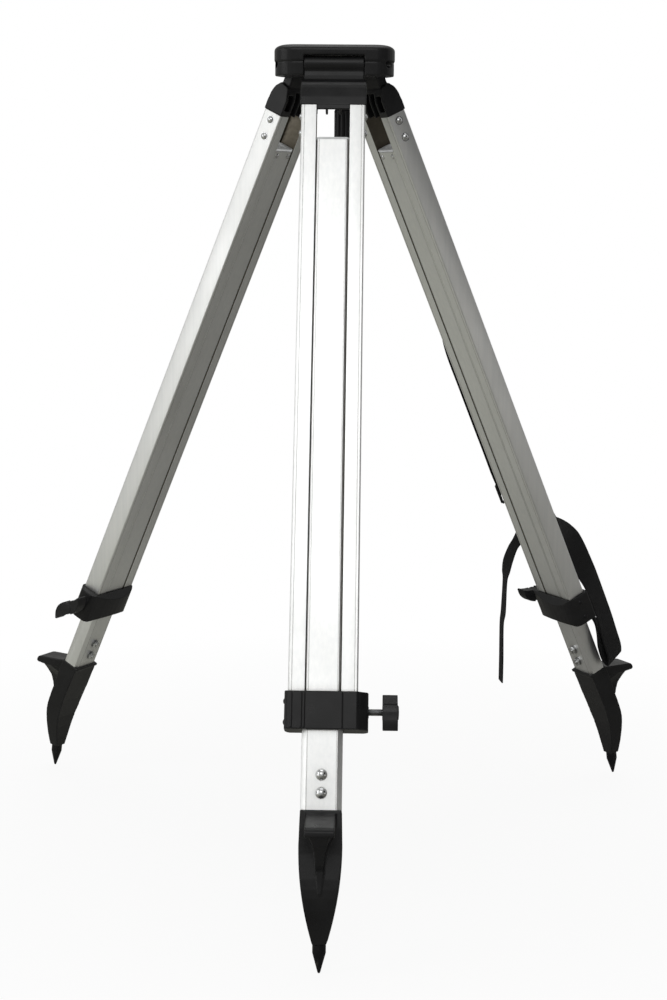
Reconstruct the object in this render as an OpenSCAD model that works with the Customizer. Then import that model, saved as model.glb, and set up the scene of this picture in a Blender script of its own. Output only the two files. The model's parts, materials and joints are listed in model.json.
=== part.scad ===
/* [Stance] */
// Angle between each leg and the vertical, in degrees
splay = 25; // [22:1:28]
// Length of lower leg that shows below the clamp, in mm
lower_shows = 88.3; // [80:0.1:110]

/* [Head] */
// Radius of the head's corners
corner_r = 26; // [22:1:28]
// Distance from the centre to the centre of each corner
corner_at = 57; // [54:1:58]
// Height of the top plate over the leg slots
plate_t = 13.5; // [13:0.5:16]
// Height of the whole head
head_h = 38; // [36:1:42]
// Diameter of the central opening
opening_d = 54; // [50:1:56]
// Distance from the centre to each leg hinge
hinge_r = 44.5; // [44:0.5:46]
// Drop of each leg hinge below the top face
hinge_drop = 24.3; // [24.2:0.1:25]

/* [Legs] */
// Outside width across the two rails
leg_w = 78.4; // [78:0.1:80]
// Thickness of the rails, front to back
rail_t = 26.3; // [26:0.1:28]
// Width of one rail
rail_w = 18.8; // [18:0.1:19]
// Wall of the rail extrusion
rail_wall = 1.6; // [1.4:0.1:2]
// Top of the rails, measured down the leg from the hinge
rail_top = 61.4; // [60:0.1:64]
// Top of the clamp, measured down the leg from the hinge
clamp_top = 787; // [760:1:800]
// Height of the clamp
clamp_h = 42.7; // [42:0.1:46]
// Width of the lower leg
lower_w = 45.5; // [45:0.1:45.6]
// Thickness of the lower leg
lower_t = 25.8; // [25:0.1:26]
// Wall of the lower leg
lower_wall = 2; // [1.6:0.1:2.4]
// Length of the lower leg
lower_len = 813.5; // [760:0.5:815]

/* [Feet] */
// Width of the foot at its widest
foot_w = 48; // [46:1:50]
// Length of the foot without its steel point
foot_len = 141; // [130:1:145]
// Width of the step plate
step_w = 33; // [28:1:36]
// Diameter of the steel point
point_d = 15; // [13:1:16]

/* [Fixing screw] */
// Outside diameter of the instrument thread
thread_d = 15.875; // [15.875, 16]
// Swing of the arm at rest, in degrees from the front
arm_swing = 22.4; // [0:0.1:22.4]
// Diameter of the fluted handle
handle_d = 28; // [24:1:28]

/* [Strap] */
// Width of the webbing
web_w = 38; // [30:1:40]
// Thickness of the webbing
web_t = 2.2; // [1.8:0.1:2.6]

/* [Hidden] */
$fn = 48;
eps = 0.01;
run = 0.05;
leg_angle = [-90, 30, 150];
mid_n = -2.7;
rail_out = leg_w / 2;
rail_in = rail_out - rail_w;
rail_back = mid_n - rail_t / 2;
rail_face = mid_n + rail_t / 2;
clamp_bottom = clamp_top + clamp_h;
rail_bottom = clamp_bottom - 4.5;
lower_end = clamp_bottom + lower_shows;
lower_top = lower_end - lower_len;
screw_u = clamp_top + 21;
bolt_us = [lower_end - 38.5, lower_end - 18.5];
foot_end = lower_end + foot_len;
pivot_y = 34;
pin_r = 4;
pin_half = 60;
pin_screw_r = 2.5;
pin_screw_t = 50;
arm_reach = 34.8;
handle_r = handle_d / 2;

// Leg frame: local X points out of the leg's outer face (n), local Y runs across it (t),
// and local -Z runs down the leg from the hinge (u).
module leg_frame(i) {
    rotate([0, 0, leg_angle[i]])
        translate([hinge_r, 0, -hinge_drop])
            rotate([0, -splay, 0])
                children();
}

module slab(n0, n1, t0, t1, u0, u1) {
    translate([n0, t0, -u1])
        cube([n1 - n0, t1 - t0, u1 - u0]);
}

// Profile given as [u, n] points, extruded across the leg
module side_profile(points, t0, t1) {
    rotate([90, 0, 0])
        translate([0, 0, -t1])
            linear_extrude(t1 - t0)
                polygon([for (p = points) [p[1], -p[0]]]);
}

// Outline given as [u, t] points, extruded through the leg
module front_profile(points, n0, n1) {
    translate([n0, 0, 0])
        rotate([90, 0, 90])
            linear_extrude(n1 - n0)
                polygon([for (p = points) [p[1], -p[0]]]);
}

// Section given in (n, t), extruded along the leg
module along(u0, u1) {
    translate([0, 0, -u1])
        linear_extrude(u1 - u0)
            children();
}

module rod_t(r, t0, t1, u, n) {
    translate([n, t0, -u])
        rotate([-90, 0, 0])
            cylinder(r = r, h = t1 - t0);
}

module rod_n(r, n0, n1, u, t) {
    translate([n0, t, -u])
        rotate([0, 90, 0])
            cylinder(r = r, h = n1 - n0);
}

// Domed head of radius r and height h, standing on z = 0
module dome(r, h) {
    ball = (r * r + h * h) / (2 * h);
    intersection() {
        translate([0, 0, h - ball])
            sphere(r = ball);
        cylinder(r = r + 1, h = h + 1);
    }
}

// ---------- head ----------

function corner(i, r) =
    [for (a = [-60:10:60])
        [corner_at * cos(i * 120 + 90) + r * cos(i * 120 + 90 + a),
         corner_at * sin(i * 120 + 90) + r * sin(i * 120 + 90 + a)]];

// Head outline pulled in by the given amount
function head_outline(inset) =
    [for (i = [0:2]) each corner(i, corner_r - inset)];

module head_rim() {
    rim = [[0, 7], [0.8, 5], [2.6, 3.2], [5.4, 1.7], [9, 0.6], [14, 0]];
    hull() {
        translate([0, 0, -rim[0][1] - 1])
            linear_extrude(1)
                polygon(head_outline(0));
        for (s = rim)
            translate([0, 0, -s[1] - eps])
                linear_extrude(eps)
                    polygon(head_outline(s[0]));
    }
}

module leg_slot() {
    translate([24, -37.8, -head_h - 1])
        cube([60, 75.6, head_h - plate_t + 1]);
}

module head_blocks(z0, z1, inset) {
    difference() {
        translate([0, 0, z0])
            linear_extrude(z1 - z0)
                polygon(head_outline(inset));
        for (a = leg_angle)
            rotate([0, 0, a])
                leg_slot();
        translate([0, 0, z0 - 1])
            cylinder(r = 43, h = z1 - z0 + 2);
    }
}

module head_casting() {
    groove_top = -20.6;
    groove_bottom = -22.3;
    color("#1d1d1e")
    difference() {
        union() {
            head_rim();
            translate([0, 0, -plate_t])
                linear_extrude(plate_t - 7.5)
                    polygon(head_outline(0));
            head_blocks(groove_top, -plate_t + eps, 0);
            head_blocks(groove_bottom - eps, groove_top + eps, 1.6);
            head_blocks(-head_h, groove_bottom, 1);
        }
        translate([0, 0, -plate_t - 1])
            cylinder(d = opening_d, h = plate_t + 2);
        for (a = leg_angle)
            rotate([0, 0, a])
                translate([hinge_r, 0, -hinge_drop]) {
                    translate([0, -pin_half, 0])
                        rotate([-90, 0, 0])
                            cylinder(r = pin_r + run, h = 2 * pin_half + 40);
                    for (side = [-1, 1])
                        translate([0, side * pin_screw_t, -head_h])
                            cylinder(r = pin_screw_r + run, h = head_h - pin_r);
                }
        translate([0, pivot_y, -plate_t - 1])
            cylinder(r = 3 + run, h = 10);
    }
}

module hinge_pins() {
    color("#3a3b3c")
    for (a = leg_angle)
        rotate([0, 0, a])
            translate([hinge_r, -pin_half + run, -hinge_drop])
                rotate([-90, 0, 0])
                    cylinder(r = pin_r, h = 2 * pin_half);
}

// Socket screws that lock each hinge pin from below
module pin_screws() {
    length = head_h - hinge_drop - pin_r - 1;
    color("#3a3b3c")
    for (a = leg_angle, side = [-1, 1])
        rotate([0, 0, a])
            translate([hinge_r, side * pin_screw_t, -head_h + 1])
                difference() {
                    cylinder(r = pin_screw_r, h = length - eps);
                    translate([0, 0, -1])
                        cylinder(r = 1.5, h = 4, $fn = 6);
                }
}

// ---------- fixing screw under the head ----------

arm_top = -plate_t - 1;
arm_t = 5;

module arm_frame() {
    translate([0, pivot_y, 0])
        rotate([0, 0, arm_swing - 90])
            children();
}

module swing_arm() {
    slot_half = 8.4;
    end = arm_reach + 16;
    color("#6d7072")
    arm_frame()
        translate([0, 0, arm_top - arm_t])
            difference() {
                linear_extrude(arm_t)
                    difference() {
                        union() {
                            circle(r = 9);
                            translate([0, -9])
                                square([16, 18]);
                            translate([14, -12])
                                square([end - 26, 24]);
                            translate([end - 12, 0])
                                circle(r = 12);
                        }
                        translate([arm_reach - slot_half, -6.5])
                            square([2 * slot_half, 13]);
                        for (side = [-1, 1])
                            translate([arm_reach + side * slot_half, 0])
                                circle(r = 6.5);
                    }
                translate([0, 0, -1])
                    cylinder(r = 3 + run, h = arm_t + 2);
            }
}

module arm_pivot() {
    color("#b9bcbf")
    translate([0, pivot_y, 0]) {
        translate([0, 0, -21])
            cylinder(r = 3, h = 15);
        translate([0, 0, -21])
            mirror([0, 0, 1])
                dome(6, 3);
        translate([0, 0, -21])
            cylinder(r = 6, h = 1.2);
    }
}

module screw_frame() {
    arm_frame()
        translate([arm_reach, 0, 0])
            children();
}

module slide_bush() {
    color("#c9a24a")
    screw_frame()
        difference() {
            union() {
                translate([0, 0, arm_top - arm_t - 0.3])
                    cylinder(r = 6.4, h = arm_t + 0.3);
                translate([0, 0, arm_top - arm_t - 2.6])
                    cylinder(r = 10.5, h = 2.4);
            }
            translate([0, 0, -30])
                cylinder(r = 5.5 + run, h = 20);
        }
}

washer_z = -36;

module thrust_washer() {
    color("#b9bcbf")
    screw_frame()
        difference() {
            translate([0, 0, washer_z])
                cylinder(r = 10, h = 2.2);
            translate([0, 0, washer_z - 1])
                cylinder(r = 5.5 + run, h = 5);
        }
}

module fixing_screw() {
    color("#cfd2d4")
    screw_frame() {
        translate([0, 0, -13])
            cylinder(d = thread_d, h = 11);
        translate([0, 0, -120])
            cylinder(r = 5.5, h = 107.5);
        translate([0, 0, washer_z - 2.2])
            cylinder(r = 8, h = 2);
    }
}

handle_top = -71;
handle_bottom = -138;

module fixing_knob() {
    flutes = 12;
    color("#1a1a1b")
    screw_frame()
        difference() {
            union() {
                translate([0, 0, handle_bottom])
                    cylinder(r = handle_r, h = handle_top - handle_bottom - 6);
                translate([0, 0, handle_top - 6])
                    cylinder(r1 = handle_r, r2 = handle_r - 3, h = 3);
                translate([0, 0, handle_top - 3])
                    cylinder(r = 8.5, h = 3);
            }
            for (k = [0:flutes - 1])
                rotate([0, 0, k * 360 / flutes])
                    translate([handle_r + 0.8, 0, handle_bottom + 5])
                        cylinder(r = 2.4, h = 60, $fn = 24);
            translate([0, 0, -121])
                cylinder(r = 5.5 + run, h = 60);
        }
}

module plumb_hook() {
    color("#b9bcbf")
    screw_frame() {
        translate([0, 0, handle_bottom - 4])
            cylinder(r = 4, h = 3.9);
        translate([0, 0, handle_bottom - 10])
            rotate([90, 0, 0])
                rotate_extrude()
                    translate([5.5, 0])
                        circle(r = 1.4, $fn = 24);
    }
}

// ---------- leg castings and rails ----------

rivet_us = [rail_top + 9.8, rail_top + 32.3];

module hinge_casting(i) {
    shoulder = [
        [22, 1.5], [28.5, 7.2], [33, 9.2], [38.5, 10.6], [50.5, 11.5], [61, 11.2],
        [61, -16.2], [40, -16.2], [26, -12], [24, -10]];
    neck = [[0, 9.9], [7, 7], [10.5, 2.6], [16, 1.5], [23, 1.5], [30, -11], [0, -9.9]];
    tongue = [[60, 10.8], [66.6, 10.4], [66.6, 7.2], [60, 7.2]];
    color("#1d1d1e")
    leg_frame(i)
        difference() {
            union() {
                rod_t(10, -37.2, 37.2, 0, 0);
                side_profile(neck, -37.2, 37.2);
                side_profile(shoulder, -40.5, 40.5);
                side_profile(tongue, -rail_in + 0.3, rail_in - 0.3);
                for (side = [-1, 1])
                    slab(rail_back + rail_wall + 0.2, rail_face - rail_wall - 0.2,
                        side > 0 ? rail_in + 5 : -rail_out + rail_wall + 0.2,
                        side > 0 ? rail_out - rail_wall - 0.2 : -rail_in - 5,
                        60, rail_top + 42);
            }
            rod_t(pin_r + run, -45, 45, 0, 0);
            // hollow back with two ribs
            slab(-20, 6.8, -7, 7, 30, 62);
            slab(-20, 6.8, -20, -10, 30, 62);
            slab(-20, 6.8, 10, 20, 30, 62);
            slab(-20, 4, 24, 36.5, 34, 54);
            slab(-20, 4, -36.5, -24, 34, 54);
            for (u = rivet_us, side = [-1, 1])
                rod_t(2.45, side > 0 ? 30 : -45, side > 0 ? 45 : -30, u, mid_n);
        }
}

module rail_section() {
    chamber_in = rail_in + 4.8;
    difference() {
        union() {
            translate([rail_back, rail_in])
                square([rail_t, rail_w - 3]);
            translate([rail_back + 3, rail_in])
                square([rail_t - 6, rail_w]);
            for (n = [rail_back + 3, rail_face - 3])
                translate([n, rail_out - 3])
                    circle(r = 3);
        }
        translate([rail_back + rail_wall, chamber_in])
            square([rail_t - 2 * rail_wall, rail_out - rail_wall - chamber_in]);
        // channel that guides the edge of the lower leg
        translate([rail_back + 1.4, rail_in - 1])
            square([rail_t - 2.8, 4.2]);
        // narrow grooves down both faces
        for (n = [rail_back - 0.2, rail_face - 0.4])
            translate([n, rail_out - 4.4])
                square([0.6, 0.8]);
    }
}

module rails(i) {
    color("#c8cacb")
    leg_frame(i) {
        for (side = [-1, 1])
            difference() {
                along(rail_top, rail_bottom)
                    mirror([0, side < 0 ? 1 : 0])
                        rail_section();
                for (u = rivet_us)
                    rod_t(2.45, side > 0 ? 30 : -45, side > 0 ? 45 : -30, u, mid_n);
                if (side > 0)
                    rod_t(7, 15, 45, screw_u, mid_n);
                if (side < 0)
                    for (u = clamp_rivet_us)
                        rod_t(2.05, -45, -30, u, mid_n);
            }
    }
}

clamp_rivet_us = [clamp_top + 9.5, clamp_top + 33];

module rivets(i) {
    color("#d8dadb")
    leg_frame(i) {
        for (u = rivet_us, side = [-1, 1])
            translate([mid_n, side * rail_out, -u])
                rotate([side > 0 ? -90 : 90, 0, 0]) {
                    dome(4.5, 3);
                    translate([0, 0, -8.5])
                        cylinder(r = 2.4, h = 8.6);
                }
        for (u = clamp_rivet_us)
            translate([mid_n, -rail_out - 3.6, -u])
                rotate([90, 0, 0]) {
                    dome(3.6, 2);
                    translate([0, 0, -6.5])
                        cylinder(r = 2, h = 6.6);
                }
    }
}

// ---------- clamp ----------

clamp_face = rail_face + 4.4;
clamp_end = 51;

// Section of the clamp in (n, t): a flat face, a bellied back and a thick end for the screw
module clamp_section() {
    polygon([
        [clamp_face, -39.8], [clamp_face - 0.9, -41.9], [clamp_face - 3, -42.8],
        [-6, -42.8], [-12, -41.8], [-16.4, -39.8], [-20.4, -35.5], [-23.2, -30],
        [-24.8, -23.5], [-26, -14], [-26.4, -4], [-26, 6], [-25.2, 14], [-23.8, 24],
        [-22, 33], [-20.2, 41], [-18.4, 46.5], [-15.6, 49.8], [-12, clamp_end],
        [1, clamp_end], [5.6, 50], [7, 48.6], [8.2, 46.4], [10.8, 42.6], [13.4, 39.6],
        [clamp_face - 0.6, 37.6], [clamp_face - 0.7, 22.6], [clamp_face, 21.6]]);
}

module clamp_body(i) {
    belly = -27;
    back = -18.5;
    color("#1d1d1e")
    leg_frame(i)
        difference() {
            union() {
                intersection() {
                    along(clamp_top, clamp_bottom)
                        clamp_section();
                    side_profile([
                        [clamp_top, 20], [clamp_bottom, 20], [clamp_bottom, back],
                        [clamp_bottom - 7, belly], [clamp_top + 9, belly],
                        [clamp_top, back]], -50, 60);
                }
                for (t = [-35, -24, -20.6])
                    slab(clamp_face - 0.5, clamp_face + 0.7, t - 0.5, t + 0.5,
                        clamp_top + 2, clamp_bottom - 2);
            }
            slab(rail_back - 0.1, rail_face + 0.1, -rail_out - 0.1, rail_out + 0.1,
                clamp_top - 1, rail_bottom + 0.1);
            along(clamp_top, clamp_bottom + 1)
                lower_section(-0.45);
            rod_t(7, 30, 44.5, screw_u, mid_n);
            rod_t(6.5, 44, 60, screw_u, mid_n);
            for (u = clamp_rivet_us)
                rod_t(2.05, -50, -30, u, mid_n);
        }
}

module clamp_bush(i) {
    color("#3a3b3c")
    leg_frame(i)
        difference() {
            rod_t(6.5, 44.5, clamp_end + 0.4, screw_u, mid_n);
            rod_t(4 + run, 40, 55, screw_u, mid_n);
        }
}

module clamp_shoe(i) {
    color("#2a2a2b")
    leg_frame(i)
        difference() {
            rod_t(6.6, lower_w / 2 + 0.05, 40.4, screw_u, mid_n);
            rod_t(4 + run, 34, 42, screw_u, mid_n);
        }
}

module clamp_screw(i) {
    color("#8e9193")
    leg_frame(i)
        rod_t(4, 34.05, 80, screw_u, mid_n);
}

// Angle of each knob's wings about the clamp screw
knob_turn = [30, 14, 36];

// Curved wing of the knob: broad at the hub, bending to a blunt tip
module wing(flip) {
    width = [9.2, 8.2, 5.8, 1.8];
    rotate([0, 0, flip])
        for (k = [0:2])
            hull()
                for (s = [k, k + 1])
                    rotate([0, 0, 9 * s])
                        translate([5 + 6.5 * s, 0, 0])
                            cylinder(r = width[s], h = 18 - 0.4 * s, $fn = 24);
}

module wing_knob(i) {
    color("#1a1a1b")
    leg_frame(i)
        translate([mid_n, 66.5, -screw_u])
            rotate([-90, 0, 0])
                rotate([0, 0, knob_turn[i]])
                    difference() {
                        union() {
                            cylinder(r = 8.6, h = 18);
                            translate([0, 0, 18])
                                cylinder(r1 = 8.6, r2 = 6.4, h = 0.8);
                            wing(0);
                            wing(180);
                        }
                        translate([0, 0, -1])
                            cylinder(r = 4 + run, h = 15);
                    }
}

// ---------- lower leg ----------

// Bevelled section of the lower leg, pulled in by the given amount
module lower_section(inset) {
    bevel_t = 5.4;
    bevel_n = 3.5;
    hn = lower_t / 2 - inset;
    ht = lower_w / 2 - inset;
    ft = lower_w / 2 - bevel_t - inset * 0.55;
    en = lower_t / 2 - bevel_n - inset * 0.75;
    translate([mid_n, 0])
        polygon([
            [hn, -ft], [hn, ft], [en, ht], [-en, ht],
            [-hn, ft], [-hn, -ft], [-en, -ht], [en, -ht]]);
}

guide_rivet_u = lower_top + 6.5;

module lower_leg(i) {
    color("#d3d4d4")
    leg_frame(i)
        difference() {
            along(lower_top + 3.4, lower_end)
                difference() {
                    lower_section(0);
                    lower_section(lower_wall);
                    // fine grooves beside the flat faces
                    for (n = [-1, 1], t = [-1, 1])
                        translate([mid_n + n * lower_t / 2, t * (lower_w / 2 - 6.4)])
                            square([0.8, 0.8], center = true);
                }
            for (u = bolt_us)
                rod_n(3.05, -30, 30, u, 0);
            for (t = [-12.5, 12.5])
                rod_n(1.65, -30, 0, guide_rivet_u + 3.4, t);
        }
}

module end_guide(i) {
    color("#b4b6b6")
    leg_frame(i)
        difference() {
            union() {
                along(lower_top, lower_top + 3.3)
                    lower_section(0);
                along(lower_top + 3.2, lower_top + 24)
                    lower_section(lower_wall + 0.15);
            }
            along(lower_top + 8, lower_top + 25)
                lower_section(lower_wall + 5.5);
            for (t = [-12.5, 12.5])
                rod_n(1.65, -30, -11, guide_rivet_u + 3.4, t);
        }
}

module guide_rivets(i) {
    color("#d8dadb")
    leg_frame(i)
        for (t = [-12.5, 12.5])
            translate([mid_n - lower_t / 2, t, -guide_rivet_u - 3.4])
                rotate([0, -90, 0]) {
                    dome(3.3, 1.6);
                    translate([0, 0, -4])
                        cylinder(r = 1.6, h = 4.1);
                }
}

// ---------- foot ----------

// Half-width of the foot, a circular arc that narrows towards the point
function leaf(u) =
    let (widest = lower_end + 38, reach = foot_end + 2.5, narrow = 7.5,
        drop = foot_w / 2 - narrow,
        arc = (pow(reach - widest, 2) + drop * drop) / (2 * drop))
    u < widest
        ? foot_w / 2 - (widest - u) / 38
        : foot_w / 2 - arc + sqrt(arc * arc - pow(u - widest, 2));

// Frame of the steel point, at the end of the foot and closer to upright than the leg
point_n = -18;
point_lean = 17;

module point_frame(i) {
    leg_frame(i)
        translate([point_n, 0, -foot_end])
            rotate([0, point_lean, 0])
                children();
}

module foot(i) {
    top = lower_end;
    end_half = 7.4;
    end_u = end_half * sin(point_lean);
    end_n = end_half * cos(point_lean);
    us = concat([0, 15, 38], [for (k = [1:12]) 38 + (foot_len - 35.5) * k / 12]);
    outline = concat(
        [for (u = us) [top + u, leaf(top + u)]],
        [for (k = [len(us) - 1:-1:0]) [top + us[k], -leaf(top + us[k])]]);
    side = [
        [top, rail_face + 0.2], [top + 20, rail_face + 0.4], [top + 48, 9.6],
        [top + 62, 9.8], [top + 75, 10], [top + 86, 9.4], [top + 95, 7.5], [top + 108, 3.5],
        [top + 126, -3.3], [top + 137, -8.1],
        [foot_end + end_u, point_n + end_n], [foot_end - end_u, point_n - end_n],
        [top + 124, -21.4], [top + 108, -18], [top + 90, -15.6], [top + 60, -14.8],
        [top + 8, -16.2], [top + 4, -16.6], [top + 4, -19], [top, -19]];
    plate = [
        [top + 2, 9], [top + 6, 15], [top + 14, 32], [top + 23, 52], [top + 25.5, 56],
        [top + 28.5, 57.5], [top + 33, 57], [top + 34.2, 54.5], [top + 30, 39],
        [top + 20, 17], [top + 15, 9]];
    gusset = [
        [top + 10, 8], [top + 22, 36], [top + 31, 49], [top + 34, 46], [top + 44, 31],
        [top + 52, 25.4], [top + 60.5, 20.5], [top + 66, 12.5], [top + 76, 11.2],
        [top + 90, 9.8], [top + 98, 5]];
    flare = [
        [top + 8, 15.5], [top + 27, 15.5], [top + 32, 12.4], [top + 38, 9], [top + 46, 6.4],
        [top + 56, 5], [top + 68, 4.2], [top + 98, 0.8]];
    color("#161617")
    leg_frame(i)
        difference() {
            union() {
                intersection() {
                    side_profile(side, -40, 40);
                    front_profile(outline, -40, 40);
                }
                side_profile(plate, -step_w / 2, step_w / 2);
                intersection() {
                    side_profile(gusset, -step_w / 2, step_w / 2);
                    front_profile(
                        concat(flare, [for (k = [len(flare) - 1:-1:0]) [flare[k][0], -flare[k][1]]]),
                        0, 60);
                }
                along(top - 55, top + 1)
                    lower_section(lower_wall + 0.2);
            }
            for (u = bolt_us)
                rod_n(3.05, -30, 30, u, 0);
            translate([point_n, 0, -foot_end])
                rotate([0, point_lean, 0])
                    translate([0, 0, -2])
                        cylinder(r = 4 + run, h = 26);
            along(top - 56, top - 8)
                difference() {
                    lower_section(lower_wall + 4);
                    translate([-20, -5])
                        square([40, 10]);
                }
        }
}

module foot_bolts(i) {
    bolt_r = 3;
    face = mid_n + lower_t / 2;
    back = mid_n - lower_t / 2;
    color("#d8dadb")
    leg_frame(i)
        for (u = bolt_us) {
            rod_n(bolt_r, back - 6, face, u, 0);
            translate([face, 0, -u])
                rotate([0, 90, 0])
                    dome(6.25, 4.6);
            difference() {
                translate([back - 5, 0, -u])
                    rotate([0, 90, 0])
                        cylinder(r = 6.2, h = 5, $fn = 6);
                rod_n(bolt_r + run, back - 8, face, u, 0);
            }
        }
}

module foot_point(i) {
    shank = 10.5;
    cone = 22;
    color("#3a3b3c")
    point_frame(i) {
        cylinder(r = 4, h = 22);
        translate([0, 0, -shank])
            cylinder(d = point_d, h = shank - eps);
        translate([0, 0, -eps])
            cylinder(r = 4, h = 1);
        translate([0, 0, -shank - cone])
            cylinder(d1 = 3, d2 = point_d, h = cone);
    }
}

// ---------- strap ----------

strap_leg = 1;

// Smooth curve through a list of control points
function blend4(a, b, c, d, s) =
    0.5 * (2 * b + (c - a) * s + (2 * a - 5 * b + 4 * c - d) * s * s
        + (3 * b - a - 3 * c + d) * s * s * s);

function smooth(points, steps) =
    let (last = len(points) - 1)
    [for (k = [0:last - 1], j = [0:steps - 1])
        blend4(points[max(k - 1, 0)], points[k], points[k + 1],
            points[min(k + 2, last)], j / steps),
     points[last]];

// Flat band through [u, t, n, turn] points: turn 0 lies flat on the leg's outer face
module band(points, w, h) {
    last = len(points) - 1;
    centre = [for (p = points) [p[2], p[1], -p[0]]];
    across = [for (p = points) [sin(p[3]), cos(p[3]), 0]];
    course = [for (k = [0:last]) centre[min(k + 1, last)] - centre[max(k - 1, 0)]];
    normal = [for (k = [0:last]) cross(course[k], across[k]) / norm(cross(course[k], across[k]))];
    corners = [for (k = [0:last], c = [[-1, -1], [1, -1], [1, 1], [-1, 1]])
        centre[k] + across[k] * c[0] * w / 2 + normal[k] * c[1] * h / 2];
    sides = [for (k = [0:last - 1], c = [0:3])
        let (a = 4 * k + c, b = 4 * k + (c + 1) % 4)
        [[a, b, b + 4], [a, b + 4, a + 4]]];
    faces = concat(
        [for (pair = sides) pair[0]],
        [for (pair = sides) pair[1]],
        [[2, 1, 0], [3, 2, 0]],
        [[4 * last, 4 * last + 1, 4 * last + 2], [4 * last, 4 * last + 2, 4 * last + 3]]);
    polyhedron(corners, faces);
}

strap_path = [
    [168, 0, 14.6, 0], [215, 2, 15, 0], [270, 14, 19.5, -12], [330, 33.5, 19, -42],
    [395, 45, 7, -80], [460, 45, 4, -90], [550, 45.5, 4, -90], [615, 45, 5, -86],
    [652, 38, 16, -58], [676, 18, 27, -14], [694, -5, 31.5, 38], [711, -18.5, 31.5, 68],
    [730, -24.5, 31, 76], [760, -27.5, 31, 78], [787, -28, 34, 69], [828, -29, 34, 66],
    [850, -32.5, 31, 68], [878, -34, 28, 70], [898, -34.5, 26.5, 70], [911, -31.5, 23.5, 70],
    [901, -27.5, 20, 70], [880, -26, 20, 64], [858, -21, 22.5, 44], [838, -10.5, 21.5, 15],
    [822, -2, 18.6, 2], [806, 0, 17.6, 0]];

module strap() {
    color("#161616")
    leg_frame(strap_leg)
        band(smooth(strap_path, 4), web_w, web_t);
}

tail_top = [674, 55, 19];

module strap_tail() {
    color("#161616")
    leg_frame(strap_leg)
        translate([tail_top[2], tail_top[1], -tail_top[0]])
            rotate([0, splay, 0])
                tail_band();
}

// The tail hangs in its own upright frame: [drop, across, out, turn]
module tail_band() {
    path = [
        [0, 0, 0, 0], [14, 0, 0, 0], [30, 4, 1, -5], [46, 15, 2, -5], [61, 29, 2, 2],
        [81, 40, 2, 0], [98, 43.5, 1, 8], [113, 45.6, 1, 21], [158, 46.5, 0, 20],
        [179, 50, 0, 23], [231, 49, 0, 22], [266, 49, 0, 22]];
    band(smooth(path, 4), web_w * 0.66, web_t);
}

module strap_buckle() {
    color("#1a1a1b")
    leg_frame(strap_leg)
        translate([9.5, 45, -632])
            rotate([0, 0, -14])
                difference() {
                    translate([-23, 3.4, -16])
                        cube([46, 3.6, 32]);
                    for (z = [-11, 3])
                        translate([-20, 0, z])
                            cube([40, 10, 8]);
                }
}

module strap_anchors() {
    color("#8e9193")
    leg_frame(strap_leg) {
        difference() {
            slab(rail_face + 0.02, rail_face + 2.2, -30, 30, 156, 176);
            slab(rail_face, rail_face + 3, -18, 18, 163, 164);
        }
        for (t = [-25, 25])
            translate([rail_face + 2.2, t, -166])
                rotate([0, 90, 0])
                    dome(3.6, 2);
        slab(rail_face + 4.42, rail_face + 5.8, -20, 20, clamp_top + 12, clamp_top + 24);
    }
}

head_casting();
hinge_pins();
pin_screws();
swing_arm();
arm_pivot();
slide_bush();
thrust_washer();
fixing_screw();
fixing_knob();
plumb_hook();
hinge_casting(0);  // hinge_casting_front
rails(0);  // rails_front
rivets(0);  // rivets_front
clamp_body(0);  // clamp_body_front
clamp_bush(0);  // clamp_bush_front
clamp_shoe(0);  // clamp_shoe_front
clamp_screw(0);  // clamp_screw_front
wing_knob(0);  // wing_knob_front
lower_leg(0);  // lower_leg_front
end_guide(0);  // end_guide_front
guide_rivets(0);  // guide_rivets_front
foot(0);  // foot_front
foot_bolts(0);  // foot_bolts_front
foot_point(0);  // foot_point_front
hinge_casting(1);  // hinge_casting_right
rails(1);  // rails_right
rivets(1);  // rivets_right
clamp_body(1);  // clamp_body_right
clamp_bush(1);  // clamp_bush_right
clamp_shoe(1);  // clamp_shoe_right
clamp_screw(1);  // clamp_screw_right
wing_knob(1);  // wing_knob_right
lower_leg(1);  // lower_leg_right
end_guide(1);  // end_guide_right
guide_rivets(1);  // guide_rivets_right
foot(1);  // foot_right
foot_bolts(1);  // foot_bolts_right
foot_point(1);  // foot_point_right
hinge_casting(2);  // hinge_casting_left
rails(2);  // rails_left
rivets(2);  // rivets_left
clamp_body(2);  // clamp_body_left
clamp_bush(2);  // clamp_bush_left
clamp_shoe(2);  // clamp_shoe_left
clamp_screw(2);  // clamp_screw_left
wing_knob(2);  // wing_knob_left
lower_leg(2);  // lower_leg_left
end_guide(2);  // end_guide_left
guide_rivets(2);  // guide_rivets_left
foot(2);  // foot_left
foot_bolts(2);  // foot_bolts_left
foot_point(2);  // foot_point_left
strap();
strap_tail();
strap_buckle();
strap_anchors();
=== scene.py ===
import json
import math

import bmesh
import bpy
from mathutils import Matrix, Vector
from mathutils.geometry import tessellate_polygon


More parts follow.
